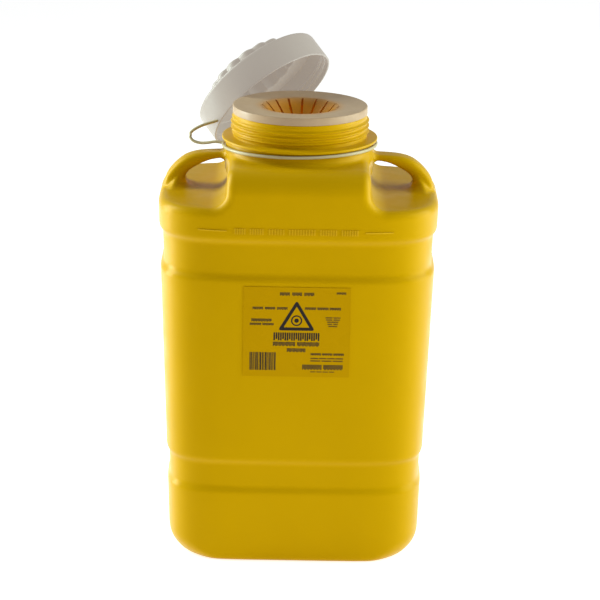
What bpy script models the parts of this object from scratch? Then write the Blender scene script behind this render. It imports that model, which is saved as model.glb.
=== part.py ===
"""A 19 litre sharps container: blow-moulded tank, fingered neck guard, tethered screw cap, front label.

Units are metres and +Z is up. The origin is the middle of the base, and the front faces -Y.
"""

import math

import bmesh
import bpy
from mathutils import Matrix, Vector

# Overall size
HEIGHT = 0.4500  # base to the top of the neck guard
FLOOR_Z = 0.3660  # flat shoulders beside the tower
BASE_HALF_WIDTH = 0.1268
TOP_HALF_WIDTH = 0.1398
BASE_HALF_DEPTH = 0.0970
TOP_HALF_DEPTH = 0.1057
BASE_POWER = 5.4  # superellipse power of the footprint: higher is squarer
TOP_POWER = 4.3
BASE_FILLET = 0.0160
SHOULDER_FILLET = 0.0085
WALL = 0.0022
GAP = 0.0003  # between touching pieces

# Recessed bands round the body: (bottom, top, depth, height of each sloping edge)
UPPER_BAND = (0.2975, 0.3345, 0.0034, 0.0080)
LOWER_BAND = (0.0765, 0.1060, 0.0025, 0.0080)

# Tower between the handles
TOWER_HALF_WIDTH = 0.0700
TOWER_TOP = 0.4030
TOWER_ROLL = 0.0230  # radius of the bend from its front and back to its top
TOWER_POWER = 8.0

# Handles: centre line of the right-hand one in the XZ plane, and its section
HANDLE_LINE = (
    (0.0660, 0.3975),
    (0.0780, 0.3985),
    (0.0900, 0.3978),
    (0.1038, 0.3940),
    (0.1157, 0.3868),
    (0.1248, 0.3772),
    (0.1302, 0.3660),
    (0.1315, 0.3540),
)
HANDLE_THICK = 0.0134
HANDLE_DEEP = 0.0245
HANDLE_WALL = 0.0021

# Neck
NECK_RADIUS = 0.0742  # seat of the tether ring
COLLAR_BOTTOM = 0.4158
COLLAR_TOP = 0.4186
COLLAR_RADIUS = 0.0779
THREAD_ROOT = 0.0668
THREAD_CREST = 0.06925
THREAD_PITCH = 0.0054
THREAD_BOTTOM = 0.4196
THREAD_TOP = 0.4410
LIP_RADIUS = 0.0646
LIP_TOP = 0.4464
BORE_RADIUS = 0.0618
NECK_SEGMENTS = 36

# Neck guard
FLANGE_RADIUS = 0.06735
FLANGE_BOTTOM = 0.4422
DISC_THICK = 0.0026
DISH = 0.0015  # how far the drop hole's edge lies below the rim
HOLE_RADIUS = 0.0386
PLUG_BOTTOM = 0.4360
PLUG_WALL = 0.0018
FINGER_COUNT = 16
FINGER_SLIT = 0.0022
FINGER_THICK = 0.0014
FINGER_TIP_RADIUS = 0.0108
FINGER_TIP_Z = 0.4203
FINGER_PHASE = math.radians(-3.4)  # turns one slit away from straight back

# Screw cap, in its own frame: the rim at z = 0 and the closed top at +Z
CAP_RADIUS = 0.0720
CAP_HEIGHT = 0.0300
CAP_WALL = 0.0020
GRIP_RADIUS = 0.0480
GRIP_LOBE = 0.0018
GRIP_LOBES = 16
GRIP_HEIGHT = 0.0145
CAP_THREADS = 2
CAP_THREAD_DEEP = 0.0013
CAP_CENTRE = Vector((-0.0288, 0.0941, 0.4340))  # middle of the open rim
CAP_UP = Vector((-0.5856, 0.4653, 0.6669))  # from the rim to the grip

# Tether
RING_RADIUS = 0.0766
RING_SECTION = (0.0034, 0.0032)
RING_Z = 0.4102
RING_TILT = math.radians(2.3)
RING_LOW_SIDE = math.radians(119.0)  # direction in which the cap's weight pulls the ring down
STRAP_SECTION = (0.0050, 0.0026)
LOWER_STRAP = (
    (-0.0770, 0.0020, 0.4090),
    (-0.0850, 0.0045, 0.4092),
    (-0.0930, 0.0070, 0.4074),
    (-0.1000, 0.0095, 0.4066),
    (-0.1066, 0.0122, 0.4078),
    (-0.1098, 0.0150, 0.4102),
)
UPPER_STRAP = (
    (-0.1102, 0.0180, 0.4124),
    (-0.1098, 0.0230, 0.4142),
    (-0.1065, 0.0300, 0.4160),
    (-0.0985, 0.0390, 0.4184),
    (-0.0855, 0.0506, 0.4204),
)

# Label
LABEL_WIDTH = 0.1050
LABEL_BOTTOM = 0.1980
LABEL_TOP = 0.2900
LABEL_THICK = 0.0003

YELLOW = (0.83, 0.56, 0.01)
NATURAL = (0.80, 0.76, 0.70)


def clear_scene():
    for obj in list(bpy.data.objects):
        bpy.data.objects.remove(obj)


def plastic(name, color, roughness):
    material = bpy.data.materials.new(name)
    material.use_nodes = True
    shader = material.node_tree.nodes["Principled BSDF"]
    shader.inputs["Base Color"].default_value = (*color, 1.0)
    shader.inputs["Roughness"].default_value = roughness
    shader.inputs["Metallic"].default_value = 0.0
    return material


def add_object(name, mesh, material=None):
    obj = bpy.data.objects.new(name, mesh)
    bpy.context.scene.collection.objects.link(obj)
    if material:
        mesh.materials.append(material)
    mesh.shade_smooth()
    mesh.set_sharp_from_angle(angle=math.radians(40))
    return obj


def skin(name, rings, wrap=False):
    """A closed mesh over rings of equally many points. It caps the end rings, or joins last to first."""
    bm = bmesh.new()
    rows = [[bm.verts.new(point) for point in ring] for ring in rings]
    count = len(rows[0])
    pairs = list(zip(rows, rows[1:]))
    if wrap:
        pairs.append((rows[-1], rows[0]))
    else:
        bm.faces.new(rows[0])
        bm.faces.new(rows[-1])
    for low, high in pairs:
        for i in range(count):
            j = (i + 1) % count
            bm.faces.new((low[i], low[j], high[j], high[i]))
    bmesh.ops.recalc_face_normals(bm, faces=bm.faces)
    mesh = bpy.data.meshes.new(name)
    bm.to_mesh(mesh)
    bm.free()
    return mesh


def turned(name, profile, segments, wrap=True):
    """A solid of revolution about Z from (radius, z) points."""
    rings = []
    for radius, z in profile:
        ring = []
        for i in range(segments):
            angle = 2 * math.pi * i / segments
            ring.append((radius * math.cos(angle), radius * math.sin(angle), z))
        rings.append(ring)
    return skin(name, rings, wrap)


def smooth_path(points, steps):
    """Points along a Catmull-Rom curve through the given ones."""
    knots = [Vector(p) for p in points]
    knots = [2 * knots[0] - knots[1], *knots, 2 * knots[-1] - knots[-2]]
    path = []
    for a, b, c, d in zip(knots, knots[1:], knots[2:], knots[3:]):
        for i in range(steps):
            t = i / steps
            path.append(
                0.5 * (2 * b + (c - a) * t + (2 * a - 5 * b + 4 * c - d) * t**2
                       + (3 * b - a - 3 * c + d) * t**3)
            )
    path.append(knots[-2])
    return path


def swept(name, path, width, thick, across, sides=12, power=2.5):
    """A bar with a rounded section along a path. Its width lies along the vector across."""
    rings = []
    for i, point in enumerate(path):
        ahead = path[min(i + 1, len(path) - 1)] - path[max(i - 1, 0)]
        side = (across - ahead.normalized() * across.dot(ahead.normalized())).normalized()
        up = ahead.normalized().cross(side)
        ring = []
        for k in range(sides):
            x, y = superellipse(2 * math.pi * k / sides, width / 2, thick / 2, power)
            ring.append(point + side * x + up * y)
        rings.append(ring)
    return skin(name, rings)


def superellipse(angle, half_x, half_y, power):
    c, s = math.cos(angle), math.sin(angle)
    x = math.copysign(half_x * abs(c) ** (2 / power), c)
    y = math.copysign(half_y * abs(s) ** (2 / power), s)
    return x, y


def mix(a, b, t):
    return a + (b - a) * t


def ease(t):
    t = min(max(t, 0.0), 1.0)
    return t * t * (3 - 2 * t)


def band_depth(z, band):
    bottom, top, depth, edge = band
    return depth * ease((z - bottom + edge / 2) / edge) * ease((top + edge / 2 - z) / edge)


def body_size(z):
    """Half width, half depth and superellipse power of the body's footprint at a height."""
    t = z / FLOOR_Z
    inset = band_depth(z, UPPER_BAND) + band_depth(z, LOWER_BAND)
    half_x = mix(BASE_HALF_WIDTH, TOP_HALF_WIDTH, t) - inset
    half_y = mix(BASE_HALF_DEPTH, TOP_HALF_DEPTH, t) - inset
    return half_x, half_y, mix(BASE_POWER, TOP_POWER, t)


def front_y(x, z):
    half_x, half_y, power = body_size(z)
    return -half_y * (1 - (abs(x) / half_x) ** power) ** (1 / power)


def body_mesh(name, shrink, points):
    """The body up to its flat shoulders, with every wall moved in by shrink."""
    bands = []
    for bottom, top, _depth, edge in (LOWER_BAND, UPPER_BAND):
        bands += [bottom - edge / 2, bottom + edge / 2, top - edge / 2, top + edge / 2]
    low, high = shrink, FLOOR_Z - shrink
    levels = []
    for step in range(4):
        angle = math.pi / 2 * step / 3
        levels.append((low + BASE_FILLET * (1 - math.sin(angle)), BASE_FILLET * (1 - math.cos(angle))))
    levels.reverse()
    levels += [(z, 0.0) for z in sorted(bands + [0.200])]
    for step in range(4):
        angle = math.pi / 2 * step / 3
        levels.append(
            (high - SHOULDER_FILLET * (1 - math.sin(angle)), SHOULDER_FILLET * (1 - math.cos(angle)))
        )
    rings = []
    for z, inset in levels:
        half_x, half_y, power = body_size(z)
        away = shrink + inset
        rings.append(
            [
                (*superellipse(2 * math.pi * (i + 0.5) / points, half_x - away, half_y - away, power), z)
                for i in range(points)
            ]
        )
    return skin(name, rings)


def tower_mesh(name, shrink, points):
    """The tower, whose front and back stay in line with the body and bend over to a flat top."""
    rings = []
    bottom, top = FLOOR_Z - 0.018, TOWER_TOP - shrink
    bend = top - TOWER_ROLL
    for z in [bottom, FLOOR_Z, *[bend + TOWER_ROLL * math.sin(math.pi / 2 * k / 6) for k in range(7)]]:
        t = max(0.0, (z - bend) / TOWER_ROLL)
        face = TOP_HALF_DEPTH - 0.0010 - TOWER_ROLL * (1 - math.sqrt(max(0.0, 1 - t * t)))
        half_x, half_y = TOWER_HALF_WIDTH - shrink, face - shrink
        rings.append(
            [
                (*superellipse(2 * math.pi * (i + 0.5) / points, half_x, half_y, TOWER_POWER), z)
                for i in range(points)
            ]
        )
    return skin(name, rings)


def handle_mesh(name, sign, shrink):
    path = smooth_path([(sign * x, 0.0, z) for x, z in HANDLE_LINE], 2)
    return swept(
        name, path, HANDLE_DEEP - 2 * shrink, HANDLE_THICK - 2 * shrink, Vector((0, 1, 0)), 10, 2.8
    )


def thread_radius(angle, z):
    """Radius of the neck's right-handed thread."""
    phase = (z - THREAD_BOTTOM) / THREAD_PITCH - angle / (2 * math.pi)
    ridge = (0.5 + 0.5 * math.cos(2 * math.pi * phase)) ** 1.5
    fade = ease((z - THREAD_BOTTOM) / THREAD_PITCH) * ease((THREAD_TOP - z) / THREAD_PITCH)
    return THREAD_ROOT + (THREAD_CREST - THREAD_ROOT) * ridge * fade


def neck_mesh(name):
    """Solid neck with collar, thread and lip, from inside the tower to the top."""
    plain = [
        (TOWER_HALF_WIDTH - 0.0010, TOWER_TOP - 0.016),
        (NECK_RADIUS, TOWER_TOP - 0.007),
        (NECK_RADIUS, COLLAR_BOTTOM),
        (COLLAR_RADIUS, COLLAR_BOTTOM + 0.0004),
        (COLLAR_RADIUS, COLLAR_TOP - 0.0006),
        (COLLAR_RADIUS - 0.0008, COLLAR_TOP),
        (THREAD_ROOT, COLLAR_TOP + 0.0006),
    ]
    rows = 12
    threaded = [mix(THREAD_BOTTOM, THREAD_TOP, (k + 0.5) / rows) for k in range(rows)]
    lip = [(THREAD_ROOT, THREAD_TOP), (LIP_RADIUS, THREAD_TOP + 0.0006), (LIP_RADIUS, LIP_TOP)]
    angles = [2 * math.pi * i / NECK_SEGMENTS for i in range(NECK_SEGMENTS)]
    rings = [[(r * math.cos(a), r * math.sin(a), z) for a in angles] for r, z in plain]
    for z in threaded:
        radii = [thread_radius(a, z) for a in angles]
        rings.append([(r * math.cos(a), r * math.sin(a), z) for r, a in zip(radii, angles)])
    rings += [[(r * math.cos(a), r * math.sin(a), z) for a in angles] for r, z in lip]
    return skin(name, rings)


def bore_mesh(name):
    """The neck's inside, which widens below the guard's plug and again behind the collar."""
    wide = NECK_RADIUS - WALL - 0.0006
    middle = THREAD_ROOT - WALL - 0.0004
    profile = [
        (TOWER_HALF_WIDTH - 0.0046, TOWER_TOP - 0.012),
        (wide, TOWER_TOP - 0.0015),
        (wide, COLLAR_BOTTOM - 0.002),
        (middle, COLLAR_TOP + 0.001),
        (middle, PLUG_BOTTOM - 0.004),
        (BORE_RADIUS, PLUG_BOTTOM - 0.001),
        (BORE_RADIUS, HEIGHT),
    ]
    return turned(name, profile, 32, wrap=False)


def hide_tool(obj):
    obj.hide_render = True
    obj.display_type = "WIRE"
    return obj


def boolean(obj, tool, operation):
    modifier = obj.modifiers.new(f"{operation.lower()}_{tool.name}", "BOOLEAN")
    modifier.operation = operation
    modifier.object = hide_tool(tool)
    modifier.solver = "EXACT"


def make_tank(material):
    tank = add_object("tank", body_mesh("tank", 0.0, 32), material)
    boolean(tank, add_object("tower_form", tower_mesh("tower_form", 0.0, 32)), "UNION")
    for side, sign in (("left", -1), ("right", 1)):
        form = add_object(f"{side}_handle_form", handle_mesh(f"{side}_handle_form", sign, 0.0))
        boolean(tank, form, "UNION")
    boolean(tank, add_object("neck_form", neck_mesh("neck_form")), "UNION")
    boolean(tank, add_object("body_hollow", body_mesh("body_hollow", WALL, 24)), "DIFFERENCE")
    boolean(tank, add_object("tower_hollow", tower_mesh("tower_hollow", WALL, 24)), "DIFFERENCE")
    for side, sign in (("left", -1), ("right", 1)):
        form = add_object(f"{side}_handle_hollow", handle_mesh(f"{side}_handle_hollow", sign, HANDLE_WALL))
        boolean(tank, form, "DIFFERENCE")
    boolean(tank, add_object("neck_bore", bore_mesh("neck_bore")), "DIFFERENCE")
    return tank


def make_guard_ring(material):
    inside = LIP_RADIUS + GAP
    plug = BORE_RADIUS - GAP
    under = LIP_TOP + GAP
    profile = [
        (FLANGE_RADIUS - 0.0012, HEIGHT),
        (FLANGE_RADIUS - 0.0003, HEIGHT - 0.0004),
        (FLANGE_RADIUS, HEIGHT - 0.0013),
        (FLANGE_RADIUS, FLANGE_BOTTOM),
        (inside, FLANGE_BOTTOM),
        (inside, under),
        (plug, under),
        (plug, PLUG_BOTTOM),
        (plug - PLUG_WALL, PLUG_BOTTOM),
        (plug - PLUG_WALL, under - 0.0004),
        (HOLE_RADIUS, HEIGHT - DISH - DISC_THICK),
        (HOLE_RADIUS, HEIGHT - DISH),
    ]
    return add_object("guard_ring", turned("guard_ring", profile, 48), material)


def make_fingers(material):
    """Sixteen flexing fingers. Each has its origin on its bending axis, at the root's lower edge."""
    root = HOLE_RADIUS - GAP
    root_top = HEIGHT - DISH - 0.0002
    root_low = HEIGHT - DISH - DISC_THICK + 0.0003
    slope = Vector((FINGER_TIP_RADIUS - root + 0.0017, FINGER_TIP_Z - root_top + 0.0004)).normalized()
    under = Vector((-slope.y, slope.x)) * FINGER_THICK
    section = [
        (root, root_top),
        (root - 0.0017, root_top - 0.0004),
        (FINGER_TIP_RADIUS, FINGER_TIP_Z),
        (FINGER_TIP_RADIUS + under.x, FINGER_TIP_Z + under.y),
        (root - 0.0007, root_low),
        (root, root_low),
    ]
    pivot = Vector((root, 0.0, root_low))
    columns = 4
    for index in range(FINGER_COUNT):
        turn = math.pi / 2 + FINGER_PHASE + 2 * math.pi * (index + 0.5) / FINGER_COUNT
        rings = []
        for column in range(columns):
            ring = []
            for radius, z in section:
                half = math.pi / FINGER_COUNT - math.asin(FINGER_SLIT / 2 / radius)
                angle = mix(-half, half, column / (columns - 1))
                ring.append(Vector((radius * math.cos(angle), radius * math.sin(angle), z)) - pivot)
            rings.append(ring)
        name = f"guard_finger_{index + 1:02d}"
        finger = add_object(name, skin(name, rings), material)
        finger.rotation_euler = (0, 0, turn)
        finger.location = Matrix.Rotation(turn, 3, "Z") @ pivot


def cap_frame():
    """Turns the cap's own frame into its leaning place."""
    up = CAP_UP.normalized()
    sideways = Vector((0, 0, 1)).cross(up).normalized()
    ahead = up.cross(sideways)
    turn = Matrix((sideways, ahead, up)).transposed()
    return Matrix.LocRotScale(CAP_CENTRE, turn.to_quaternion(), None)


def make_cap(material):
    """Skirt, inside thread ridges, flat top and a hollow lobed grip."""
    inner = CAP_RADIUS - CAP_WALL
    ceiling = CAP_HEIGHT - CAP_WALL - 0.0004
    top = CAP_HEIGHT + GRIP_HEIGHT
    # (radius, z, share of the lobes) down the outside, then up the inside
    profile = [
        (0.0120, top, 0.0),
        (GRIP_RADIUS - 0.0050, top, 1.0),
        (GRIP_RADIUS - 0.0010, top - 0.0020, 1.0),
        (GRIP_RADIUS, CAP_HEIGHT + 0.0004, 1.0),
        (CAP_RADIUS - 0.0030, CAP_HEIGHT, 0.0),
        (CAP_RADIUS - 0.0006, CAP_HEIGHT - 0.0010, 0.0),
        (CAP_RADIUS, CAP_HEIGHT - 0.0034, 0.0),
        (CAP_RADIUS, 0.0, 0.0),
        (inner, 0.0, 0.0),
    ]
    for turn in range(CAP_THREADS):
        z = 0.0040 + THREAD_PITCH * turn
        profile += [
            (inner, z, 0.0),
            (inner - CAP_THREAD_DEEP, z + 0.0012, 0.0),
            (inner - CAP_THREAD_DEEP, z + 0.0020, 0.0),
            (inner, z + 0.0032, 0.0),
        ]
    profile += [
        (inner, ceiling, 0.0),
        (GRIP_RADIUS - CAP_WALL, ceiling, 1.0),
        (GRIP_RADIUS - CAP_WALL - 0.0030, top - CAP_WALL, 1.0),
        (0.0120, top - CAP_WALL, 0.0),
    ]
    segments = 3 * GRIP_LOBES
    rings = []
    for radius, z, share in profile:
        ring = []
        for i in range(segments):
            angle = 2 * math.pi * i / segments
            r = radius + GRIP_LOBE * share * math.cos(GRIP_LOBES * angle)
            ring.append((r * math.cos(angle), r * math.sin(angle), z))
        rings.append(ring)
    cap = add_object("screw_cap", skin("screw_cap", rings), material)
    cap.matrix_world = cap_frame()
    return cap


def make_tether(material):
    """The loose ring with its lower strap, and the upper strap that runs on to the cap's skirt."""
    width, thick = RING_SECTION
    centre = Vector((0, 0, RING_Z))
    tilt = Matrix.Rotation(RING_TILT, 3, Vector((-math.sin(RING_LOW_SIDE), math.cos(RING_LOW_SIDE), 0)))
    rings = []
    segments = 48
    for i in range(segments):
        angle = 2 * math.pi * i / segments
        out = Vector((math.cos(angle), math.sin(angle), 0))
        ring = []
        for k in range(8):
            x, y = superellipse(2 * math.pi * (k + 0.5) / 8, width / 2, thick / 2, 3.0)
            ring.append(centre + tilt @ (out * (RING_RADIUS + x) + Vector((0, 0, y))))
        rings.append(ring)
    tether = add_object("tether_ring", skin("tether_ring", rings, wrap=True), material)
    across = Vector((0.0, 1.0, 0.0))
    lower = swept("lower_strap_form", smooth_path(LOWER_STRAP, 3), *STRAP_SECTION, across, 8, 3.0)
    boolean(tether, add_object("lower_strap_form", lower), "UNION")
    upper = swept("tether_strap", smooth_path(UPPER_STRAP, 3), *STRAP_SECTION, across, 8, 3.0)
    add_object("tether_strap", upper, material)


def make_label(material):
    columns, rows = 5, 3
    rings = []
    for lift in (GAP + LABEL_THICK, GAP):
        grid = []
        for r in range(rows):
            z = mix(LABEL_BOTTOM, LABEL_TOP, r / (rows - 1))
            for c in range(columns):
                x = mix(-LABEL_WIDTH / 2, LABEL_WIDTH / 2, c / (columns - 1))
                grid.append((x, front_y(x, z) - lift, z))
        rings.append(grid)
    bm = bmesh.new()
    front, back = ([bm.verts.new(p) for p in grid] for grid in rings)
    for r in range(rows - 1):
        for c in range(columns - 1):
            i = r * columns + c
            quad = (i, i + 1, i + columns + 1, i + columns)
            bm.faces.new([front[k] for k in quad])
            bm.faces.new([back[k] for k in reversed(quad)])
    edge = list(range(columns))
    edge += [(r + 1) * columns - 1 for r in range(1, rows)]
    edge += [rows * columns - 1 - c for c in range(1, columns)]
    edge += [r * columns for r in range(rows - 2, 0, -1)]
    for i, j in zip(edge, edge[1:] + edge[:1]):
        bm.faces.new((front[j], front[i], back[i], back[j]))
    bmesh.ops.recalc_face_normals(bm, faces=bm.faces)
    mesh = bpy.data.meshes.new("front_label")
    bm.to_mesh(mesh)
    bm.free()
    add_object("front_label", mesh, material)


def main():
    clear_scene()
    natural = plastic("natural_polyethylene", NATURAL, 0.35)
    make_tank(plastic("yellow_polyethylene", YELLOW, 0.38))
    make_guard_ring(natural)
    make_fingers(natural)
    make_cap(natural)
    make_tether(natural)
    make_label(plastic("label_film", YELLOW, 0.30))


main()
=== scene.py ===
"""Looks of the sharps container: camera, light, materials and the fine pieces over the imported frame."""

import math

import bmesh
import bpy
import numpy as np
from mathutils import Matrix, Vector


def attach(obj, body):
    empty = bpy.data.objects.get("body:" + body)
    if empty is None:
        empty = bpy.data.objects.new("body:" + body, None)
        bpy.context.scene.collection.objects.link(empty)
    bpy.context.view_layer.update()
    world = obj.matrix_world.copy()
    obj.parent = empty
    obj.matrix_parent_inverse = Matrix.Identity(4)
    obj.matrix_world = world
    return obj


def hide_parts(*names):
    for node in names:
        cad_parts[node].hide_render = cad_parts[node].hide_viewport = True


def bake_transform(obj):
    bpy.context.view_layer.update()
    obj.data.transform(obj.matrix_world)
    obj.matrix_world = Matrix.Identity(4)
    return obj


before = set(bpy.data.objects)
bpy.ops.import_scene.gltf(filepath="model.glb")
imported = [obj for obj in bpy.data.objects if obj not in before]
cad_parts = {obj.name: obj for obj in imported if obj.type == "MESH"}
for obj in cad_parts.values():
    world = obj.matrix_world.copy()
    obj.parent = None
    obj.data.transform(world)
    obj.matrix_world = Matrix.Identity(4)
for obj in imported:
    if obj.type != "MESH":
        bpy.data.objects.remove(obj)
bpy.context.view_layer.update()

# Camera, with its angles in radians, its place in metres and its lens in millimetres
CAMERA_PLACE = (0.0, -2.455, 0.972)
CAMERA_PITCH = math.radians(16.47)
CAMERA_YAW = math.radians(-0.073)
CAMERA_ROLL = math.radians(1.0)
CAMERA_LENS = 150.42
CAMERA_SENSOR = 36.0

# Lights: place, width and height, and watts
LIGHT_TARGET = (0.0, 0.0, 0.22)
LEFT_LIGHT = ((-1.40, 0.40, 0.75), (0.7, 1.5), 42)
RIGHT_LIGHT = ((1.75, -0.05, 0.85), (1.7, 1.7), 48)
SIDE_LIGHT = (0.86, 1.0, 0.94)
WORLD_LIGHT = 0.37
FLOOR_HALF = 60.0
FLOOR_GLOW = 0.66

# The tank (metres). It is as in the CAD, but its base is deeper and its fillets are softer.
FLOOR_Z = 0.3660
BASE_HALF_WIDTH = 0.1268
TOP_HALF_WIDTH = 0.1398
BASE_HALF_DEPTH = 0.1010
TOP_HALF_DEPTH = 0.1057
BASE_POWER = 5.4
TOP_POWER = 4.3
BASE_FILLET = (0.0050, 0.0240)  # along the front and back, and at the ends
BASE_FILLET_CHANGE = (0.0750, 0.0450)  # where it starts to widen, and over what length
SHOULDER_FILLET = 0.0085
WALL = 0.0022
# Shallow bands round the body: bottom, top, depth and length of each sloping edge
UPPER_BAND = (0.2975, 0.3345, 0.0034, 0.0080)
LOWER_BAND = (0.0765, 0.1060, 0.0025, 0.0080)
TOWER_HALF_WIDTH = 0.0700
TOWER_TOP = 0.4030
TOWER_ROLL = 0.0230
FOOT_FILLET = 0.0170
HANDLE_MIDDLE = (0.0750, 0.3540)
HANDLE_SIZE = (0.0575, 0.0464)
HANDLE_THICK = (0.0100, 0.0138)  # beside the tower, and over the rest of the arch
HANDLE_CHANGE = (0.0820, 0.0240)  # where it starts to thicken, and over what length
HANDLE_DEEP = 0.0245
HANDLE_FILLET = (0.0045, 0.0190)  # at the tower, and at the flat shoulder
HANDLE_SIDES = 0.0080  # over what depth the arch's inner fillet gives way to a sharp outer edge
SHARP = 0.0005  # the rounding of an edge that looks sharp
NECK_RADIUS = 0.0742
NECK_BOTTOM = 0.3850
NECK_TOP = 0.4170
NECK_FILLET = 0.0060
HOLLOW_NECK = (0.3920, 0.4260)  # bottom and top of the hollow's round end

# The meshes of the tank's outside and hollow: their boxes, and the size of their cells
NET_BOX = ((-0.143, -0.112, -0.003), (0.143, 0.112, 0.421))
HOLLOW_BOX = ((-0.143, -0.112, -0.003), (0.143, 0.112, 0.431))
NET_CELL = 0.0022
HOLLOW_CELL = 0.0040
# How their points move onto the surface: the step that measures a slope, and two limits
SLOPE_STEP = 2e-5
LEAST_SLOPE = 0.05
LONGEST_MOVE = 0.0020

# Collar, thread and lip
NECK_FOOT = 0.4120
COLLAR_BOTTOM = 0.4158
COLLAR_TOP = 0.4186
COLLAR_RADIUS = 0.0779
THREAD_ROOT = 0.0668
THREAD_CREST = 0.06925
THREAD_PITCH = 0.0054
THREAD_BOTTOM = 0.4196
THREAD_TOP = 0.4410
LIP_RADIUS = 0.0646
LIP_TOP = 0.4464
BORE_RADIUS = 0.0618
BORE_BOTTOM = 0.4200
BORE_STEP = (0.4300, 0.4350)  # where the bore narrows towards the lip

# Neck guard
HEIGHT = 0.4500
GAP = 0.0003
FLANGE_RADIUS = 0.06735
FLANGE_BOTTOM = 0.4422
DISC_THICK = 0.0026
DISH = 0.0015
HOLE_RADIUS = 0.0386
PLUG_BOTTOM = 0.4360
PLUG_WALL = 0.0018
FINGER_COUNT = 16
FINGER_SLIT = 0.0022
FINGER_THICK = 0.0014
FINGER_TIP_RADIUS = 0.0108
FINGER_TIP_Z = 0.4203
FINGER_PHASE = math.radians(-3.4)

# Screw cap, in its own frame and then in the world
CAP_RADIUS = 0.0720
CAP_HEIGHT = 0.0300
CAP_WALL = 0.0020
GRIP_RADIUS = 0.0480
GRIP_LOBE = 0.0018
GRIP_LOBES = 16
GRIP_HEIGHT = 0.0145
GRIP_FLAT = 0.0120  # radius of the flat middle of its top
CAP_THREAD_DEEP = 0.0013
CAP_THREAD = (0.0030, 0.0160)
CAP_CENTRE = Vector((-0.0288, 0.0941, 0.4340))
CAP_UP = Vector((-0.5856, 0.4653, 0.6669))

# Tether: each section is its width and thickness, and the power of its superellipse
RING_RADIUS = 0.0766
RING_SECTION = (0.0034, 0.0032)
RING_POWER = 2.6
RING_Z = 0.4102
RING_TILT = math.radians(2.3)
RING_LOW_SIDE = math.radians(119.0)
STRAP_SECTION = (0.0050, 0.0026)
STRAP_POWER = 2.8
STRAP_LINE = (
    (-0.0770, 0.0020, 0.4090),
    (-0.0850, 0.0045, 0.4092),
    (-0.0930, 0.0070, 0.4074),
    (-0.1000, 0.0095, 0.4066),
    (-0.1066, 0.0122, 0.4078),
    (-0.1098, 0.0150, 0.4102),
    (-0.1102, 0.0180, 0.4124),
    (-0.1098, 0.0230, 0.4142),
    (-0.1065, 0.0300, 0.4160),
    (-0.0985, 0.0390, 0.4184),
    (-0.0868, 0.0494, 0.4202),
    (-0.0850, 0.0510, 0.4206),
)

# Label
LABEL_WIDTH = 0.1050
LABEL_BOTTOM = 0.1980
LABEL_TOP = 0.2900
LABEL_THICK = 0.0003
LABEL_CLEAR = 0.0001
BAR_STRIP = 0.0060

# Print on the label: left, right, bottom, top, words and stroke of each line (metres)
PRINT_THICK = 0.00006
PRINT_GAP = 0.00002
STROKE_PITCH = 1.45
WORD_GAP = 1.6
SHORT_STROKE = 0.18
PRINT_LINES = (
    (-0.0166, 0.0175, 0.2814, 0.2849, 3, 0.00075),
    (0.0389, 0.0485, 0.2834, 0.2857, 1, 0.00065),
    (-0.0432, -0.0085, 0.2670, 0.2697, 3, 0.00055),
    (0.0080, 0.0431, 0.2672, 0.2699, 3, 0.00055),
    (-0.0443, -0.0246, 0.2545, 0.2576, 1, 0.00060),
    (-0.0458, -0.0225, 0.2508, 0.2532, 2, 0.00060),
    (0.0283, 0.0431, 0.2588, 0.2600, 2, 0.00040),
    (0.0288, 0.0426, 0.2566, 0.2578, 2, 0.00040),
    (0.0301, 0.0413, 0.2544, 0.2556, 1, 0.00040),
    (0.0304, 0.0409, 0.2522, 0.2534, 2, 0.00040),
    (0.0313, 0.0401, 0.2500, 0.2512, 1, 0.00040),
    (-0.0224, 0.0224, 0.2354, 0.2436, 1, 0.00150),
    (-0.0229, 0.0229, 0.2296, 0.2340, 2, 0.00080),
    (-0.0091, 0.0090, 0.2235, 0.2275, 1, 0.00080),
    (0.0143, 0.0469, 0.2204, 0.2228, 3, 0.00055),
    (0.0143, 0.0463, 0.2166, 0.2179, 4, 0.00040),
    (0.0143, 0.0463, 0.2140, 0.2153, 3, 0.00040),
    (0.0063, 0.0463, 0.2054, 0.2108, 2, 0.00070),
    (0.0143, 0.0381, 0.2028, 0.2038, 4, 0.00040),
)
# Block of bars: left, right, bottom and top, then the widths and gaps that repeat across it
BAR_BLOCK = (-0.0458, -0.0203, 0.2045, 0.2230)
BAR_WIDTHS = (0.0005, 0.0013, 0.0009)
BAR_GAPS = (0.0005, 0.0008)

# Triangle with a ring and a dot
SIGN_TOP = 0.2768
SIGN_BOTTOM = 0.2458
SIGN_HALF = 0.0182
SIGN_LINE = 0.0032
SIGN_MIDDLE = 0.2560
SIGN_RING = 0.0055
SIGN_RING_LINE = 0.0013
SIGN_DOT = 0.0022
SIGN_CORNER = 0.0036

# Raised marks at the fill level
FILL_Z = 0.3455
FILL_HEIGHT = 0.0058
FILL_STROKE = 0.0012
FILL_PITCH = 0.0029
FILL_RAISE = 0.0008
FILL_SUNK = 0.0004
FILL_GROUPS = (
    (-0.0619, -0.0512),
    (-0.0469, -0.0335),
    (-0.0283, -0.0133),
    (-0.0086, 0.0170),
    (0.0217, 0.0379),
    (0.0426, 0.0588),
)
FILL_DASHES = ((-0.0974, -0.0694), (0.0659, 0.0929))

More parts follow.
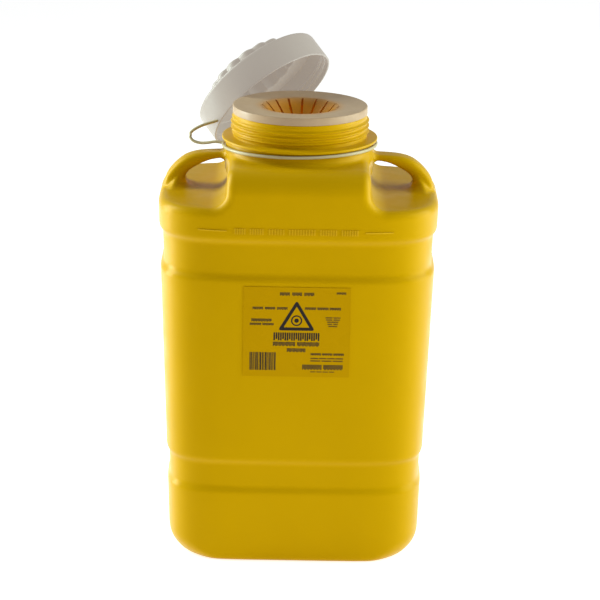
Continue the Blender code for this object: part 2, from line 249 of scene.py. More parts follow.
# Linear colours, and refraction of each plastic
YELLOW = (0.515, 0.293, 0.0003)
# Paler yellow of the raised fill marks: a painted highlight for the light that their raised strokes catch
PAINTED_HIGHLIGHT_YELLOW = (0.62, 0.375, 0.012)
YELLOW_IOR = 1.30
YELLOW_GLOSS = (1.0, 0.55, 0.02)
INSIDE_YELLOW = (0.50, 0.24, 0.001)
# Painted glow of the tank's inside, standing in for daylight that comes through the wall
INSIDE_PAINTED_GLOW = (0.37, 0.150, 0.004)
GUARD_PALE = (0.40, 0.275, 0.165)
# Painted orange glow on the guard's fingers, standing in for light from the yellow hollow through their thin
# plastic
GUARD_PAINTED_GLOW_ORANGE = (0.44, 0.175, 0.003)
CAP_PALE = (0.175, 0.156, 0.139)
# Painted glow of the cap, standing in for light that soaks through its thin wall
CAP_PAINTED_GLOW = (0.262, 0.229, 0.198)
TETHER_PALE = (0.44, 0.375, 0.215)
PALE_IOR = 1.33
LABEL_YELLOW = (0.460, 0.250, 0.0003)
INK = (0.010, 0.005, 0.002)
FLOOR_WHITE = (0.80, 0.80, 0.80)
# Radii over which the fingers' painted orange glow gives way to the flange's pale colour
GUARD_CHANGE = (0.0300, 0.0480)  # radii between which orange turns pale

# Noise that all plastics share: its scale, the range that counts, and how far it moves the gloss
CLOUD_SCALE = 14.0
CLOUD_RANGE = (0.3, 0.7)
GLOSS_SCALE = 45.0
GLOSS_DRIFT = 0.05


def mix(a, b, t):
    """A step from a to b, of share t."""
    return a + (b - a) * t


def ease(t):
    """A smooth step from 0 to 1."""
    t = np.clip(t, 0.0, 1.0)
    return t * t * (3 - 2 * t)


def band_depth(z, band):
    """How far a shallow band pulls the wall in at a height."""
    bottom, top, depth, edge = band
    return depth * ease((z - bottom + edge / 2) / edge) * ease((top + edge / 2 - z) / edge)


def body_size(z):
    """Half width, half depth and superellipse power of the body's footprint at a height."""
    t = np.clip(z, 0, FLOOR_Z) / FLOOR_Z
    inset = band_depth(z, UPPER_BAND) + band_depth(z, LOWER_BAND)
    half_x = mix(BASE_HALF_WIDTH, TOP_HALF_WIDTH, t) - inset
    half_y = mix(BASE_HALF_DEPTH, TOP_HALF_DEPTH, t) - inset
    return half_x, half_y, mix(BASE_POWER, TOP_POWER, t)


def oval_gap(x, y, half_x, half_y, power):
    """About how far outside a superellipse a point is."""
    u = np.maximum(np.abs(x) / half_x, 1e-6)
    v = np.maximum(np.abs(y) / half_y, 1e-6)
    s = (u**power + v**power) ** (1 / power)
    slope = np.hypot((u / s) ** (power - 1) / half_x, (v / s) ** (power - 1) / half_y)
    return (s - 1) / slope


def both(a, b, radius):
    """Inside both shapes, with the edge between them rounded."""
    a, b = a + radius, b + radius
    return np.minimum(np.maximum(a, b), 0) + np.hypot(np.maximum(a, 0), np.maximum(b, 0)) - radius


def either(a, b, radius):
    """Inside either shape, with the corner between them filled to a radius."""
    return -both(-a, -b, radius)


def tank_field(x, y, z):
    """About how far outside the tank's outer surface a point is, up to the collar."""
    wall = oval_gap(x, y, *body_size(z))
    side = np.abs(x)
    handle_line = oval_gap(
        np.maximum(side - HANDLE_MIDDLE[0], 0), np.maximum(z - HANDLE_MIDDLE[1], 0), *HANDLE_SIZE, 2.0
    )
    along = ease((side - HANDLE_CHANGE[0]) / HANDLE_CHANGE[1])
    thick = mix(*HANDLE_THICK, along)
    handle = both(np.abs(handle_line) - thick / 2, np.abs(y) - HANDLE_DEEP / 2, thick / 2 - SHARP)
    inner_side = ease((HANDLE_SIDES / 2 - handle_line) / HANDLE_SIDES)
    top = either(z - FLOOR_Z, side - TOWER_HALF_WIDTH, FOOT_FILLET)
    top = either(top, handle, mix(SHARP, mix(*HANDLE_FILLET, along), inner_side))
    shape = both(wall, z - TOWER_TOP, TOWER_ROLL)
    shape = both(shape, top, SHOULDER_FILLET)
    towards_end = ease((side - BASE_FILLET_CHANGE[0]) / BASE_FILLET_CHANGE[1])
    shape = both(shape, -z, mix(*BASE_FILLET, towards_end))
    round_wall = np.hypot(x, y) - NECK_RADIUS
    neck = np.maximum(np.maximum(round_wall, z - NECK_TOP), NECK_BOTTOM - z)
    return either(shape, neck, NECK_FILLET)


def surface_net(field, low, high, step):
    """Points and quads of the surface on which field is zero, inside a box.

    Each cell that the surface crosses gets one point, in the middle of where its edges are cut. Each
    edge that is cut gets a quad between the four cells round it.
    """
    axes = [np.arange(a, b + step, step) for a, b in zip(low, high)]
    shape = [len(a) for a in axes]
    values = np.empty(shape, np.float32)
    x, y = np.meshgrid(axes[0], axes[1], indexing="ij")
    for k, z in enumerate(axes[2]):
        values[:, :, k] = field(x, y, np.full_like(x, z))
    inside = values < 0
    cells = tuple(n - 1 for n in shape)
    corners = [(i, j, k) for i in (0, 1) for j in (0, 1) for k in (0, 1)]

    def shifted(array, corner):
        return array[tuple(slice(c, c + n) for c, n in zip(corner, cells))]

    count = sum(shifted(inside, c).astype(np.int8) for c in corners)
    mixed = (count > 0) & (count < 8)
    where = np.argwhere(mixed)
    ids = np.full(cells, -1, np.int64)
    ids[mixed] = np.arange(len(where))
    total = np.zeros((len(where), 3))
    hits = np.zeros(len(where))
    for a in corners:
        for axis in range(3):
            if a[axis]:
                continue
            b = tuple(c + (k == axis) for k, c in enumerate(a))
            va = values[tuple((where + a).T)].astype(float)
            vb = values[tuple((where + b).T)].astype(float)
            cross = (va < 0) != (vb < 0)
            t = np.where(cross, va / np.where(cross, va - vb, 1), 0)
            point = np.array(a, float) + t[:, None] * (np.arange(3) == axis)
            total[cross] += point[cross]
            hits += cross
    points = (where + total / hits[:, None]) * step + np.array([a[0] for a in axes])
    quads = []
    for axis in range(3):
        i, j = (axis + 1) % 3, (axis + 2) % 3
        lower = [slice(None)] * 3
        upper = [slice(None)] * 3
        lower[axis], upper[axis] = slice(0, -1), slice(1, None)
        first, second = inside[tuple(lower)], inside[tuple(upper)]
        for out, changed in ((False, first & ~second), (True, ~first & second)):
            edge = np.argwhere(changed)
            edge = edge[(edge[:, i] > 0) & (edge[:, j] > 0)]
            edge = edge[(edge[:, i] < cells[i]) & (edge[:, j] < cells[j])]
            ring = []
            for di, dj in ((0, 0), (-1, 0), (-1, -1), (0, -1)):
                cell = edge.copy()
                cell[:, i] += di
                cell[:, j] += dj
                ring.append(ids[tuple(cell.T)])
            ring = np.stack(ring, 1)
            quads.append(ring[:, ::-1] if out else ring)
    return points, np.concatenate(quads)


def settle(points, field, rounds=3):
    """Moves points onto the surface on which field is zero."""
    h = SLOPE_STEP
    for _ in range(rounds):
        x, y, z = points.T
        value = field(x, y, z)
        slope = np.stack(
            [
                field(x + h, y, z) - field(x - h, y, z),
                field(x, y + h, z) - field(x, y - h, z),
                field(x, y, z + h) - field(x, y, z - h),
            ],
            1,
        ) / (2 * h)
        size = np.maximum((slope**2).sum(1), LEAST_SLOPE)
        move = slope * (value / size)[:, None]
        length = np.linalg.norm(move, axis=1, keepdims=True)
        points = points - move * np.minimum(1, LONGEST_MOVE / np.maximum(length, 1e-12))
    return points


def relax(points, quads, field, rounds):
    """Evens out the mesh along the surface."""
    for _ in range(rounds):
        total = np.zeros_like(points)
        hits = np.zeros(len(points))
        for k in range(4):
            for step in (1, 3):
                np.add.at(total, quads[:, k], points[quads[:, (k + step) % 4]])
                np.add.at(hits, quads[:, k], 1)
        points = settle(mix(points, total / hits[:, None], 0.6), field, 1)
    return settle(points, field, 2)


def quad_object(name, points, quads):
    mesh = bpy.data.meshes.new(name)
    mesh.from_pydata(points.tolist(), [], quads.tolist())
    mesh.validate()
    mesh.shade_smooth()
    obj = bpy.data.objects.new(name, mesh)
    bpy.context.scene.collection.objects.link(obj)
    return obj


class Nodes:
    """Short calls that add nodes to a material and join them."""

    def __init__(self, name):
        self.material = bpy.data.materials.new(name)
        self.material.use_nodes = True
        self.tree = self.material.node_tree
        self.shader = self.tree.nodes["Principled BSDF"]
        self.place = self.add("ShaderNodeTexCoord").outputs["Object"]

    def add(self, kind, **settings):
        node = self.tree.nodes.new(kind)
        for key, value in settings.items():
            setattr(node, key, value)
        return node

    def join(self, output, socket):
        self.tree.links.new(output, socket)

    def noise(self, scale, detail):
        node = self.add("ShaderNodeTexNoise")
        node.inputs["Scale"].default_value = scale
        node.inputs["Detail"].default_value = detail
        self.join(self.place, node.inputs["Vector"])
        return node.outputs["Fac"]

    def spread(self, value, low, high, to_low=0.0, to_high=1.0):
        """A smooth step in value, from to_low at low to to_high at high."""
        node = self.add("ShaderNodeMapRange", interpolation_type="SMOOTHSTEP")
        limits = {"From Min": low, "From Max": high, "To Min": to_low, "To Max": to_high}
        for key, number in limits.items():
            node.inputs[key].default_value = number
        self.join(value, node.inputs["Value"])
        return node.outputs["Result"]

    def blend(self, share, first, second):
        """A mix of two colours, each a plain colour or another node's output."""
        node = self.add("ShaderNodeMix", data_type="RGBA")
        self.join(share, node.inputs["Factor"])
        # A Mix node has sockets for numbers and vectors first, so its colours go by place
        first_color, second_color, result = node.inputs[6], node.inputs[7], node.outputs[2]
        for socket, color in ((first_color, first), (second_color, second)):
            if isinstance(color, tuple):
                socket.default_value = (*color, 1)
            else:
                self.join(color, socket)
        return result

    def radius(self):
        """Distance from the neck's axis."""
        flat = self.add("ShaderNodeVectorMath", operation="MULTIPLY")
        flat.inputs[1].default_value = (1, 1, 0)
        self.join(self.place, flat.inputs[0])
        length = self.add("ShaderNodeVectorMath", operation="LENGTH")
        self.join(flat.outputs[0], length.inputs[0])
        return length.outputs["Value"]

    def bump(self, height, distance):
        node = self.add("ShaderNodeBump")
        node.inputs["Distance"].default_value = distance
        self.join(height, node.inputs["Height"])
        self.join(node.outputs["Normal"], self.shader.inputs["Normal"])

    def glow(self, color, strength=1.0):
        self.shader.inputs["Emission Color"].default_value = (*color, 1)
        self.shader.inputs["Emission Strength"].default_value = strength


def shade(color, factor):
    return tuple(min(1.0, c * factor) for c in color)


def moulded(name, color, roughness, ior, grain, deep, drift, gloss_tint=(1, 1, 1)):
    """Moulded plastic. Its colour drifts a little, its gloss varies and a fine grain covers it."""
    nodes = Nodes(name)
    cloud = nodes.spread(nodes.noise(CLOUD_SCALE, 4.0), *CLOUD_RANGE)
    tint = nodes.blend(cloud, shade(color, 1 - drift), shade(color, 1 + drift))
    nodes.join(tint, nodes.shader.inputs["Base Color"])
    gloss = nodes.noise(GLOSS_SCALE, 3.0)
    gloss = nodes.spread(gloss, *CLOUD_RANGE, roughness - GLOSS_DRIFT, roughness + GLOSS_DRIFT)
    nodes.join(gloss, nodes.shader.inputs["Roughness"])
    nodes.shader.inputs["IOR"].default_value = ior
    nodes.shader.inputs["Specular Tint"].default_value = (*gloss_tint, 1)
    nodes.bump(nodes.noise(grain, 2.0), deep)
    return nodes


def yellow_plastic(name, color, roughness, grain, deep, drift):
    """Yellow polyethylene. Its reflections are yellow head-on and white at a grazing angle."""
    return moulded(name, color, roughness, YELLOW_IOR, grain, deep, drift, YELLOW_GLOSS).material


def yellow_inside():
    """The tank's plastic from inside, with a painted glow that stands in for daylight coming through the
    wall.
    """
    nodes = moulded("yellow_polyethylene_inside", INSIDE_YELLOW, 0.5, YELLOW_IOR, 900.0, 0.00003, 0.04)
    nodes.glow(INSIDE_PAINTED_GLOW)
    return nodes.material


def guard_plastic():
    """Natural plastic over a yellow hollow. It is paler at the flange, and the fingers carry a painted
    orange glow that stands in for light from the yellow hollow through their thin plastic.
    """
    nodes = moulded("natural_guard_skin", GUARD_PALE, 0.36, PALE_IOR, 500.0, 0.00003, 0.04)
    across = nodes.spread(nodes.radius(), *GUARD_CHANGE)
    deep = nodes.blend(across, GUARD_PAINTED_GLOW_ORANGE, GUARD_PALE)
    light = nodes.blend(across, shade(GUARD_PAINTED_GLOW_ORANGE, 1.10), shade(GUARD_PALE, 1.07))
    cloud = nodes.spread(nodes.noise(70.0, 3.0), *CLOUD_RANGE)
    nodes.join(nodes.blend(cloud, deep, light), nodes.shader.inputs["Base Color"])
    return nodes.material


def pale_plastic(name, color, glow=(0, 0, 0)):
    """Natural polyethylene with a faint cloudiness. The glow is painted: emission that stands in for the
    light that soaks through a thin wall.
    """
    nodes = moulded(name, color, 0.34, PALE_IOR, 420.0, 0.00003, 0.05)
    nodes.glow(glow)
    return nodes.material


def floor_paper():
    nodes = moulded("floor", FLOOR_WHITE, 0.6, 1.1, 60.0, 0.0001, 0.004)
    nodes.glow((1, 1, 1), FLOOR_GLOW)
    return nodes.material


def make_camera():
    data = bpy.data.cameras.new("camera")
    data.lens = CAMERA_LENS
    data.sensor_width = CAMERA_SENSOR
    camera = bpy.data.objects.new("camera", data)
    bpy.context.scene.collection.objects.link(camera)
    turn = (
        Matrix.Rotation(CAMERA_YAW, 4, "Z")
        @ Matrix.Rotation(math.pi / 2 - CAMERA_PITCH, 4, "X")
        @ Matrix.Rotation(CAMERA_ROLL, 4, "Z")
    )
    camera.matrix_world = Matrix.Translation(CAMERA_PLACE) @ turn
    bpy.context.scene.camera = camera


def area_light(name, place, size, watts):
    data = bpy.data.lights.new(name, "AREA")
    data.shape = "RECTANGLE"
    data.size, data.size_y = size
    data.energy = watts
    data.color = SIDE_LIGHT
    light = bpy.data.objects.new(name, data)
    bpy.context.scene.collection.objects.link(light)
    light.location = place
    light.rotation_euler = (Vector(LIGHT_TARGET) - Vector(place)).to_track_quat("-Z", "Y").to_euler()


def make_stage():
    """A white world, a pale floor that glows a little, and a soft light on each side."""
    scene = bpy.context.scene
    scene.view_settings.view_transform = "Standard"
    world = bpy.data.worlds.new("studio")
    world.use_nodes = True
    background = world.node_tree.nodes["Background"]
    background.inputs["Color"].default_value = (1, 1, 1, 1)
    background.inputs["Strength"].default_value = WORLD_LIGHT
    scene.world = world
    mesh = bpy.data.meshes.new("floor")
    half = FLOOR_HALF
    corners = [(-half, -half, 0), (half, -half, 0), (half, half, 0), (-half, half, 0)]
    mesh.from_pydata(corners, [], [(0, 1, 2, 3)])
    floor = bpy.data.objects.new("floor", mesh)
    bpy.context.scene.collection.objects.link(floor)
    mesh.materials.append(floor_paper())
    area_light("left", *LEFT_LIGHT)
    area_light("right", *RIGHT_LIGHT)


def skin(name, rings, wrap=False):
    """A closed mesh over rings of equally many points. It caps the end rings, or joins last to first."""
    rows, count = len(rings), len(rings[0])
    points = np.array([p for ring in rings for p in ring], float)
    quads = []
    for r in range(rows if wrap else rows - 1):
        low, high = r * count, (r + 1) % rows * count
        for i in range(count):
            j = (i + 1) % count
            quads.append((low + i, low + j, high + j, high + i))
    ends = [] if wrap else [tuple(range(count)), tuple(range((rows - 1) * count, rows * count))]
    mesh = bpy.data.meshes.new(name)
    mesh.from_pydata(points.tolist(), [], quads + ends)
    bm = bmesh.new()
    bm.from_mesh(mesh)
    bmesh.ops.recalc_face_normals(bm, faces=bm.faces)
    bm.to_mesh(mesh)
    bm.free()
    mesh.shade_smooth()
    mesh.set_sharp_from_angle(angle=math.radians(38))
    obj = bpy.data.objects.new(name, mesh)
    bpy.context.scene.collection.objects.link(obj)
    return obj


def turned(name, profile, segments=192, wobble=None, wrap=True):
    """A solid of revolution about Z from (radius, z, ...) points, with the radius changed by wobble."""
    rings = []
    for point in profile:
        ring = []
        for i in range(segments):
            angle = 2 * math.pi * i / segments
            r, z = point[0], point[1]
            if wobble:
                r, z = wobble(point, angle)
            ring.append((r * math.cos(angle), r * math.sin(angle), z))
        rings.append(ring)
    return skin(name, rings, wrap)


def round_corner(before, here, after, size, steps):
    """Points of a rounded corner between two edges of an outline."""
    here = Vector(here)
    before = Vector(before) - here
    after = Vector(after) - here
    a = here + before.normalized() * min(size, before.length * 0.45)
    b = here + after.normalized() * min(size, after.length * 0.45)
    shares = [k / steps for k in range(steps + 1)]
    return [tuple(a * (1 - t) ** 2 + here * 2 * t * (1 - t) + b * t**2) for t in shares]


def rounded(points, steps=4, closed=True):
    """A (radius, z) outline with its corners rounded.

    A point is (radius, z, rounding, ...), and what comes after the rounding is kept. An outline that
    isn't closed keeps its two ends as they are.
    """
    out = []
    last = len(points) - 1
    for i, (r, z, size, *rest) in enumerate(points):
        if size <= 0 or (not closed and i in (0, last)):
            out.append((r, z, *rest))
            continue
        after = points[(i + 1) % len(points)]
        corner = round_corner(points[i - 1][:2], (r, z), after[:2], size, steps)
        out += [(*point, *rest) for point in corner]
    return out


def thread_radius(angle, z):
    """Radius of the neck's right-handed thread."""
    phase = (z - THREAD_BOTTOM) / THREAD_PITCH - angle / (2 * math.pi)
    ridge = (0.5 + 0.5 * math.cos(2 * math.pi * phase)) ** 1.5
    fade = ease((z - THREAD_BOTTOM) / THREAD_PITCH) * ease((THREAD_TOP - z) / THREAD_PITCH)
    return THREAD_ROOT + (THREAD_CREST - THREAD_ROOT) * ridge * fade


def make_neck():
    """Collar, thread and lip, down to inside the tower."""
    outside = rounded(
        [
            (NECK_RADIUS - WALL, NECK_FOOT, 0),
            (NECK_RADIUS - 0.0004, NECK_FOOT, 0),
            (NECK_RADIUS - 0.0004, COLLAR_BOTTOM, 0.0008),
            (COLLAR_RADIUS, COLLAR_BOTTOM, 0.0012),
            (COLLAR_RADIUS, COLLAR_TOP, 0.0012),
            (THREAD_ROOT, COLLAR_TOP + 0.0004, 0.0014),
            (THREAD_ROOT, THREAD_BOTTOM + 0.0001, 0),
        ]
    )
    rows = 76
    heights = [mix(THREAD_BOTTOM, THREAD_TOP, (k + 0.5) / rows) for k in range(rows)]
    outside += [(THREAD_ROOT, z) for z in heights]
    outside += rounded(
        [
            (THREAD_ROOT, THREAD_TOP, 0),
            (THREAD_ROOT, THREAD_TOP + 0.0012, 0.0010),
            (LIP_RADIUS, THREAD_TOP + 0.0014, 0.0008),
            (LIP_RADIUS, LIP_TOP, 0.0006),
            (BORE_RADIUS, LIP_TOP, 0.0006),
            (BORE_RADIUS, BORE_STEP[1], 0),
            (THREAD_ROOT - WALL, BORE_STEP[0], 0),
            (THREAD_ROOT - WALL, BORE_BOTTOM, 0),
        ]
    )

    def wobble(point, angle):
        r, z = point
        if abs(r - THREAD_ROOT) < 1e-9 and THREAD_BOTTOM <= z <= THREAD_TOP:
            r = thread_radius(angle, z)
        return r, z

    return turned("tank_neck", outside, 256, wobble)


def smooth_path(points, steps):
    """Points along a Catmull-Rom curve through the given ones."""
    knots = [Vector(p) for p in points]
    knots = [2 * knots[0] - knots[1], *knots, 2 * knots[-1] - knots[-2]]
    path = []
    for a, b, c, d in zip(knots, knots[1:], knots[2:], knots[3:]):
        for i in range(steps):
            t = i / steps
            path.append(
                0.5 * (2 * b + (c - a) * t + (2 * a - 5 * b + 4 * c - d) * t**2
                       + (3 * b - a - 3 * c + d) * t**3)
            )
    path.append(knots[-2])
    return path


def oval(angle, half_x, half_y, power):
    c, s = math.cos(angle), math.sin(angle)
    x = math.copysign(half_x * abs(c) ** (2 / power), c)
    y = math.copysign(half_y * abs(s) ** (2 / power), s)
    return x, y


def swept(name, path, width, thick, across, sides, power):
    """A bar with a rounded section along a path. Its width lies along the vector across."""
    rings = []
    for i, point in enumerate(path):
        ahead = (path[min(i + 1, len(path) - 1)] - path[max(i - 1, 0)]).normalized()
        side = (across - ahead * across.dot(ahead)).normalized()
        up = ahead.cross(side)
        ring = []
        for k in range(sides):
            x, y = oval(2 * math.pi * (k + 0.5) / sides, width / 2, thick / 2, power)
            ring.append(point + side * x + up * y)
        rings.append(ring)
    return skin(name, rings)


def inside_field(x, y, z):
    """About how far outside the tank's hollow a point is. The hollow runs on up through the collar."""
    bottom, top = HOLLOW_NECK
    bore = both(np.hypot(x, y) - (NECK_RADIUS - WALL), np.maximum(z - top, bottom - z), SHARP)
    return np.minimum(tank_field(x, y, z) + WALL, bore)


def make_tank(outer, inner):
    """The hollow tank as one smooth skin, with its neck as a second piece."""
    points, quads = surface_net(tank_field, *NET_BOX, NET_CELL)
    points = relax(points, quads, tank_field, 4)
    tank = quad_object("tank_skin", points, quads)
    points, quads = surface_net(inside_field, *HOLLOW_BOX, HOLLOW_CELL)
    hollow = quad_object("tank_hollow", settle(points, inside_field, 2), quads)
    cut = tank.modifiers.new("hollow", "BOOLEAN")
    cut.operation = "DIFFERENCE"
    cut.solver = "MANIFOLD"
    cut.object = hollow
    apply_modifiers(tank)
    bpy.data.objects.remove(hollow)
    mesh = tank.data
    mesh.materials.clear()
    mesh.materials.append(outer)
    mesh.materials.append(inner)
    centres = np.empty(len(mesh.polygons) * 3)
    mesh.polygons.foreach_get("center", centres)
    deep = tank_field(*centres.reshape(-1, 3).T) < -0.6 * WALL
    mesh.polygons.foreach_set("material_index", deep.astype(np.int32))
    mesh.shade_smooth()
    mesh.set_sharp_from_angle(angle=math.radians(50))
    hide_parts("tank")
    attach(tank, "tank")
    neck = make_neck()
    neck.data.materials.append(outer)
    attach(neck, "tank")


def apply_modifiers(obj):
    evaluated = obj.evaluated_get(bpy.context.evaluated_depsgraph_get())
    mesh = bpy.data.meshes.new_from_object(evaluated)
    obj.modifiers.clear()
    obj.data = mesh


def make_guard(material):
    """Flange, drop hole and the short plug that sits inside the neck."""
    inside = LIP_RADIUS + GAP
    plug = BORE_RADIUS - GAP
    under = LIP_TOP + GAP
    hole_top = HEIGHT - DISH
    outline = rounded(
        [
            (FLANGE_RADIUS - 0.0030, HEIGHT, 0),
            (FLANGE_RADIUS, HEIGHT, 0.0011),
            (FLANGE_RADIUS, FLANGE_BOTTOM, 0.0005),
            (inside, FLANGE_BOTTOM, 0.0003),
            (inside, under, 0.0003),
            (plug, under, 0.0003),
            (plug, PLUG_BOTTOM, 0.0005),
            (plug - PLUG_WALL, PLUG_BOTTOM, 0.0005),
            (plug - PLUG_WALL, under - 0.0004, 0.0006),
            (HOLE_RADIUS, hole_top - DISC_THICK, 0.0003),
            (HOLE_RADIUS, hole_top, 0.0006),
            (HOLE_RADIUS + 0.0030, hole_top + 0.0001, 0.0010),
            (FLANGE_RADIUS - 0.0075, HEIGHT - 0.0003, 0.0030),
        ]
    )
    ring = turned("guard_ring_skin", outline, 192)
    ring.data.materials.append(material)
    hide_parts("guard_ring")
    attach(ring, "tank")


def finger_outline():
    """Side view of a finger: (radius, z) points round a thin leaf from the hole's edge to the tip."""
    root = HOLE_RADIUS - GAP
    top = HEIGHT - DISH - 0.0002
    low = HEIGHT - DISH - DISC_THICK + 0.0003
    bend = Vector((root - 0.0017, top - 0.0004))
    tip = Vector((FINGER_TIP_RADIUS, FINGER_TIP_Z))
    slope = (tip - bend).normalized()
    under = Vector((-slope.y, slope.x)) * FINGER_THICK
    steps = 9
    upper = [(root, top), tuple(bend)]
    upper += [tuple(bend.lerp(tip, k / steps)) for k in range(1, steps)]
    upper += [tuple(tip - slope * 0.0004), tuple(tip + under * 0.25)]
    start = Vector((root - 0.0007, low))
    lower = [tuple((tip + under).lerp(start, k / steps)) for k in range(steps + 1)]
    return upper + lower + [(root, low)]


def make_fingers(material):
    """Sixteen flexing fingers, each a thin curved leaf that follows its CAD finger."""
    outline = finger_outline()
    columns = 9
    for index in range(FINGER_COUNT):
        turn = math.pi / 2 + FINGER_PHASE + 2 * math.pi * (index + 0.5) / FINGER_COUNT
        rings = []
        for column in range(columns):
            across = -math.cos(math.pi * column / (columns - 1))
            ring = []
            for radius, z in outline:
                half = math.pi / FINGER_COUNT - math.asin(FINGER_SLIT / 2 / radius)
                angle = turn + half * across
                ring.append((radius * math.cos(angle), radius * math.sin(angle), z))
            rings.append(ring)
        name = f"finger_{index + 1:02d}_skin"
        finger = skin(name, rings)
        finger.data.materials.append(material)
        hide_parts(f"guard_finger_{index + 1:02d}")
        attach(finger, f"finger_{index + 1:02d}")


def cap_frame():
    """Where the cap is: its own Z axis runs up through the grip."""
    up = CAP_UP.normalized()
    sideways = Vector((0, 0, 1)).cross(up).normalized()
    turn = Matrix((sideways, up.cross(sideways), up)).transposed()
    return Matrix.LocRotScale(CAP_CENTRE, turn.to_quaternion(), None)


def make_cap(material):
    """Skirt, inside thread, flat top and a hollow lobed grip."""
    inner = CAP_RADIUS - CAP_WALL
    ceiling = CAP_HEIGHT - CAP_WALL - 0.0004
    top = CAP_HEIGHT + GRIP_HEIGHT
    thread_low, thread_high = CAP_THREAD
    # Radius, height, rounding, and how much of the lobes' wave the point takes
    outside = [
        (GRIP_FLAT, top, 0, 0.0),
        (GRIP_RADIUS - 0.0020, top, 0.0030, 1.0),
        (GRIP_RADIUS, CAP_HEIGHT + 0.0050, 0, 1.0),
        (GRIP_RADIUS, CAP_HEIGHT + 0.0004, 0.0018, 1.0),
        (CAP_RADIUS - 0.0080, CAP_HEIGHT, 0, 0.0),
        (CAP_RADIUS, CAP_HEIGHT, 0.0034, 0.0),
        (CAP_RADIUS, 0.0, 0.0006, 0.0),
        (inner, 0.0, 0.0006, 0.0),
        (inner, thread_low, 0, 0.0),
    ]
    inside = [
        (inner, thread_high, 0, 0.0),
        (inner, ceiling, 0.0020, 0.0),
        (GRIP_RADIUS - CAP_WALL, ceiling, 0.0018, 1.0),
        (GRIP_RADIUS - CAP_WALL - 0.0010, top - CAP_WALL, 0.0026, 1.0),
        (GRIP_FLAT, top - CAP_WALL, 0, 0.0),
    ]
    rows = 40
    threads = [(inner, mix(thread_low, thread_high, (k + 0.5) / rows), 0.0) for k in range(rows)]
    outline = rounded(outside, 5, closed=False) + threads + rounded(inside, 5, closed=False)

    def wobble(point, angle):
        r, z, share = point
        wave = 0.5 + 0.5 * math.cos(GRIP_LOBES * angle)
        r += GRIP_LOBE * share * (2 * wave**0.6 - 1)
        if share == 0.0 and abs(r - inner) < 1e-9 and thread_low < z < thread_high:
            phase = (z - thread_low - 0.0010) / THREAD_PITCH - angle / (2 * math.pi)
            ridge = (0.5 + 0.5 * math.cos(2 * math.pi * phase)) ** 1.6
            fade = ease((z - thread_low) / 0.002) * ease((thread_high - z) / 0.002)
            r -= CAP_THREAD_DEEP * ridge * fade
        return r, z

    cap = turned("screw_cap_skin", outline, 288, wobble, wrap=False)
    cap.data.transform(cap_frame())
    cap.data.materials.append(material)
    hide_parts("screw_cap")
    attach(cap, "cap")


def make_tether(material):
    """The loose ring under the collar, and the strap that bends between the ring and the cap."""
    width, thick = RING_SECTION
    centre = Vector((0, 0, RING_Z))
    tilt = Matrix.Rotation(RING_TILT, 3, Vector((-math.sin(RING_LOW_SIDE), math.cos(RING_LOW_SIDE), 0)))
    segments, sides = 192, 20
    rings = []
    for i in range(segments):
        angle = 2 * math.pi * i / segments
        out = Vector((math.cos(angle), math.sin(angle), 0))
        ring = []
        for k in range(sides):
            x, y = oval(2 * math.pi * (k + 0.5) / sides, width / 2, thick / 2, RING_POWER)
            ring.append(centre + tilt @ (out * (RING_RADIUS + x) + Vector((0, 0, y))))
        rings.append(ring)
    ring = skin("tether_ring_skin", rings, wrap=True)
    ring.data.materials.append(material)
    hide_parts("tether_ring")
    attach(ring, "tether")
    path = smooth_path(STRAP_LINE, 8)
    strap = swept("tether_strap_skin", path, *STRAP_SECTION, Vector((0, 1, 0)), sides, STRAP_POWER)
    strap.data.materials.append(material)
    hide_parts("tether_strap")
    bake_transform(strap)


def front_y(x, z):
    half_x, half_y, power = body_size(z)
    return -half_y * (1 - (abs(x) / half_x) ** power) ** (1 / power)


def add_bar(bm, x0, z0, x1, z1, lift, thick):
    """A bar on the front wall, cut into strips so that it follows the wall's curve."""
    section = ((z0, lift), (z0, lift + thick), (z1, lift + thick), (z1, lift))
    strips = max(1, math.ceil((x1 - x0) / BAR_STRIP))
    rows = []
    for k in range(strips + 1):
        x = mix(x0, x1, k / strips)
        rows.append([bm.verts.new((x, front_y(x, z) - away, z)) for z, away in section])
    bm.faces.new(rows[0])
    bm.faces.new(rows[-1][::-1])
    join_rows(bm, zip(rows, rows[1:]))


def join_rows(bm, pairs):
    """Quads between rows of four points each."""
    for low, high in pairs:
        for i in range(4):
            j = (i + 1) % 4
            bm.faces.new((low[j], low[i], high[i], high[j]))


def bm_object(name, bm, material):
    bmesh.ops.recalc_face_normals(bm, faces=bm.faces)
    mesh = bpy.data.meshes.new(name)
    bm.to_mesh(mesh)
    bm.free()
    mesh.materials.append(material)
    obj = bpy.data.objects.new(name, mesh)
    bpy.context.scene.collection.objects.link(obj)
    return obj


def add_words(bm, x0, x1, z0, z1, words, stroke, lift):
    """A line of print: groups of plain upright strokes, some a little shorter."""
    pitch = STROKE_PITCH * stroke
    gap = WORD_GAP * pitch
    length = (x1 - x0 + gap) / words
    for word in range(words):
        start = x0 + word * length
        count = max(1, round((length - gap) / pitch))
        for k in range(count):
            x = start + k * pitch
            short = SHORT_STROKE * (z1 - z0) * ((k + word) % 3 == 1)
            add_bar(bm, x, z0 + short, x + stroke, z1, lift, PRINT_THICK)


def make_fill_marks(material):
    """Raised marks at the fill level: six groups of strokes between two dashes, in a paler yellow that is a
    painted highlight.
    """
    bm = bmesh.new()

    def raised_bar(x0, x1, height):
        z0, z1 = FILL_Z - height / 2, FILL_Z + height / 2
        add_bar(bm, x0, z0, x1, z1, -FILL_SUNK, FILL_SUNK + FILL_RAISE)

    for x0, x1 in FILL_GROUPS:
        count = round((x1 - x0) / FILL_PITCH)
        for k in range(count + 1):
            x = mix(x0, x1 - FILL_STROKE, k / count)
            raised_bar(x, x + FILL_STROKE, FILL_HEIGHT)
    for x0, x1 in FILL_DASHES:
        raised_bar(x0, x1, FILL_STROKE)
    marks = bm_object("fill_marks", bm, material)
    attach(marks, "tank")


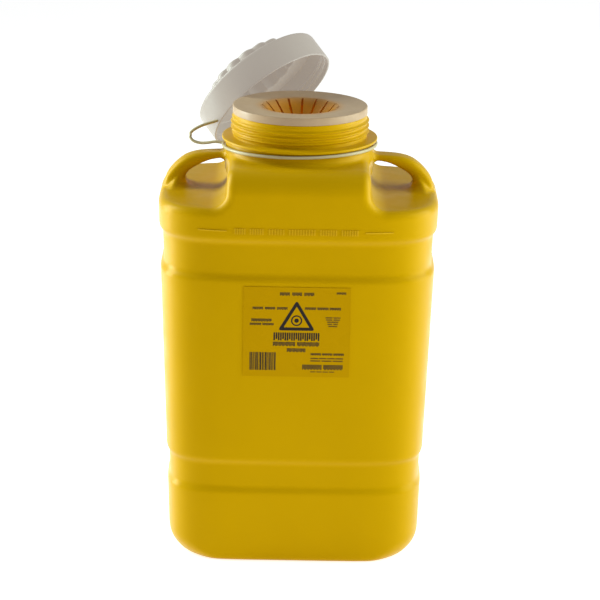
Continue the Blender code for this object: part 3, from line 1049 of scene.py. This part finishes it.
def make_print(ink):
    """Plain print: strokes for words, a ring in a triangle and a block of bars."""
    bm = bmesh.new()
    lift = GAP + LABEL_THICK + PRINT_GAP
    for line in PRINT_LINES:
        add_words(bm, *line, lift)
    left, right, bottom, top = BAR_BLOCK
    x, k = left, 0
    while x < right:
        wide = BAR_WIDTHS[k % len(BAR_WIDTHS)]
        add_bar(bm, x, bottom, x + wide, top, lift, PRINT_THICK)
        x += wide + BAR_GAPS[k % len(BAR_GAPS)]
        k += 1
    add_band(bm, triangle_line(0.0), triangle_line(SIGN_LINE), lift)
    add_band(bm, ring_line(SIGN_RING), ring_line(SIGN_RING - SIGN_RING_LINE), lift)
    add_band(bm, ring_line(SIGN_DOT), ring_line(0.0001), lift)
    marks = bm_object("label_print", bm, ink)
    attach(marks, "tank")


def ring_line(radius):
    angles = np.linspace(0, 2 * math.pi, 48, False)
    return [(radius * math.cos(a), SIGN_MIDDLE + radius * math.sin(a)) for a in angles]


def triangle_line(inset):
    """A triangle with rounded corners, moved inwards by inset."""
    slope = math.hypot(SIGN_HALF, SIGN_TOP - SIGN_BOTTOM) / SIGN_HALF
    top, bottom = SIGN_TOP - inset * slope, SIGN_BOTTOM + inset
    half = SIGN_HALF * (top - bottom) / (SIGN_TOP - SIGN_BOTTOM)
    corner = SIGN_CORNER - inset * 0.9
    return rounded([(half, bottom, corner), (0.0, top, corner), (-half, bottom, corner)], 15)


def add_band(bm, outer, inner, lift):
    """A flat closed band on the front wall between two outlines with equally many points."""
    rows = []
    for (ax, az), (bx, bz) in zip(outer, inner):
        section = ((ax, az, 0), (ax, az, PRINT_THICK), (bx, bz, PRINT_THICK), (bx, bz, 0))
        rows.append([bm.verts.new((x, front_y(x, z) - lift - away, z)) for x, z, away in section])
    join_rows(bm, zip(rows, rows[1:] + rows[:1]))


def add_rim(bm, front, back):
    """Quads between the edges of two faces of a thin sheet."""
    for i, j in zip(range(len(front)), [*range(1, len(front)), 0]):
        bm.faces.new((front[j], front[i], back[i], back[j]))


def make_label(film):
    """A thin film that follows the front wall."""
    bm = bmesh.new()
    columns, rows = 24, 20
    wide = columns + 1
    grids = []
    for lift in (GAP + LABEL_THICK, LABEL_CLEAR):
        grid = []
        for r in range(rows + 1):
            z = mix(LABEL_BOTTOM, LABEL_TOP, r / rows)
            for c in range(wide):
                x = mix(-LABEL_WIDTH / 2, LABEL_WIDTH / 2, c / columns)
                grid.append(bm.verts.new((x, front_y(x, z) - lift, z)))
        grids.append(grid)
    front, back = grids
    for r in range(rows):
        for c in range(columns):
            i = r * wide + c
            quad = (i, i + 1, i + wide + 1, i + wide)
            bm.faces.new([front[k] for k in quad])
            bm.faces.new([back[k] for k in reversed(quad)])
    bottom = list(range(wide))
    right = [(r + 1) * wide - 1 for r in range(1, rows + 1)]
    top = [rows * wide + columns - 1 - c for c in range(columns)]
    left = [r * wide for r in range(rows - 1, 0, -1)]
    edge = bottom + right + top + left
    add_rim(bm, [front[k] for k in edge], [back[k] for k in edge])
    label = bm_object("label_film", bm, film)
    label.data.shade_smooth()
    label.data.set_sharp_from_angle(angle=math.radians(40))
    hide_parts("front_label")
    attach(label, "tank")


make_camera()
make_stage()
# Roughness, the grain's scale and depth, and how far the colour drifts
outside = yellow_plastic("yellow_polyethylene_skin", YELLOW, 0.34, 700.0, 0.00002, 0.012)
# The fill marks' paler yellow is a painted highlight
raised = yellow_plastic("raised_marks_painted_highlight_skin", PAINTED_HIGHLIGHT_YELLOW, 0.30, 700.0, 0.00002, 0.03)
film = yellow_plastic("label_film_skin", LABEL_YELLOW, 0.30, 300.0, 0.00001, 0.012)
ink = moulded("label_ink", INK, 0.45, 1.3, 300.0, 0.00001, 0.10).material
guard = guard_plastic()
make_tank(outside, yellow_inside())
make_guard(guard)
make_fingers(guard)
make_cap(pale_plastic("natural_cap_skin", CAP_PALE, CAP_PAINTED_GLOW))
make_tether(pale_plastic("natural_tether_skin", TETHER_PALE))
make_label(film)
make_print(ink)
make_fill_marks(raised)
